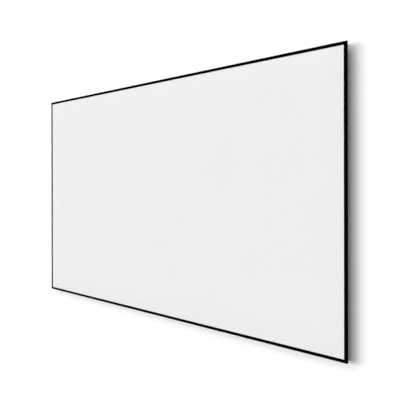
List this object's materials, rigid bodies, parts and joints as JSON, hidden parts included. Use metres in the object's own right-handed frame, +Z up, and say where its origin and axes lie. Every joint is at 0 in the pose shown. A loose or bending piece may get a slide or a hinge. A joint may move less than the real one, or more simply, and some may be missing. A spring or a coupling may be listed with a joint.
{
  "type": "fixed frame projector screen",
  "caption": "Wide flat projection screen with a thin black bezel and pale grey-white fabric, hung on the wall by brackets behind its frame.",
  "frame": {"origin": "on the wall plane, at the back of the top centre wall bracket, midway between its two screw slots", "axes": "+Z up, +X to the right for someone facing the screen, +Y into the wall; the screen faces -Y"},
  "size_m": [2.242, 0.045, 1.273],
  "materials": {
    "bezel": "satin",
    "screen_fabric": "matte",
    "frame": "satin",
    "zinc_plate": "satin",
    "tension_rod": "satin",
    "screw": "satin",
    "wall_bracket": "satin",
    "clip_plastic": "matte"
  },
  "bodies": {
    "root": {"bezel_bottom_left": "bezel", "bezel_bottom_right": "bezel", "bezel_left": "bezel", "bezel_right": "bezel", "bezel_top_left": "bezel", "bezel_top_right": "bezel", "centre_support_bar": "frame", "clip_screw_bottom_1": "screw", "clip_screw_bottom_2": "screw", "clip_screw_top_1": "screw", "clip_screw_top_2": "screw", "corner_bracket_bottom_left": "zinc_plate", "corner_bracket_bottom_right": "zinc_plate", "corner_bracket_top_left": "zinc_plate", "corner_bracket_top_right": "zinc_plate", "corner_screw_bottom_1": "screw", "corner_screw_bottom_2": "screw", "corner_screw_bottom_3": "screw", "corner_screw_bottom_4": "screw", "corner_screw_left_1": "screw", "corner_screw_left_2": "screw", "corner_screw_left_3": "screw", "corner_screw_left_4": "screw", "corner_screw_right_1": "screw", "corner_screw_right_2": "screw", "corner_screw_right_3": "screw", "corner_screw_right_4": "screw", "corner_screw_top_1": "screw", "corner_screw_top_2": "screw", "corner_screw_top_3": "screw", "corner_screw_top_4": "screw", "lower_wall_bracket_left": "wall_bracket", "lower_wall_bracket_right": "wall_bracket", "screen_fabric": "screen_fabric", "splice_bar_bottom": "zinc_plate", "splice_bar_top": "zinc_plate", "splice_screw_bottom_1": "screw", "splice_screw_bottom_2": "screw", "splice_screw_bottom_3": "screw", "splice_screw_bottom_4": "screw", "splice_screw_top_1": "screw", "splice_screw_top_2": "screw", "splice_screw_top_3": "screw", "splice_screw_top_4": "screw", "subframe_bottom_left": "frame", "subframe_bottom_right": "frame", "subframe_left": "frame", "subframe_right": "frame", "subframe_top_left": "frame", "subframe_top_right": "frame", "support_clip_bottom": "clip_plastic", "support_clip_top": "clip_plastic", "tension_rod_bottom": "tension_rod", "tension_rod_left": "tension_rod", "tension_rod_right": "tension_rod", "tension_rod_top": "tension_rod", "upper_wall_bracket_centre": "wall_bracket", "upper_wall_bracket_left": "wall_bracket", "upper_wall_bracket_right": "wall_bracket"}
  },
  "joints": []
}
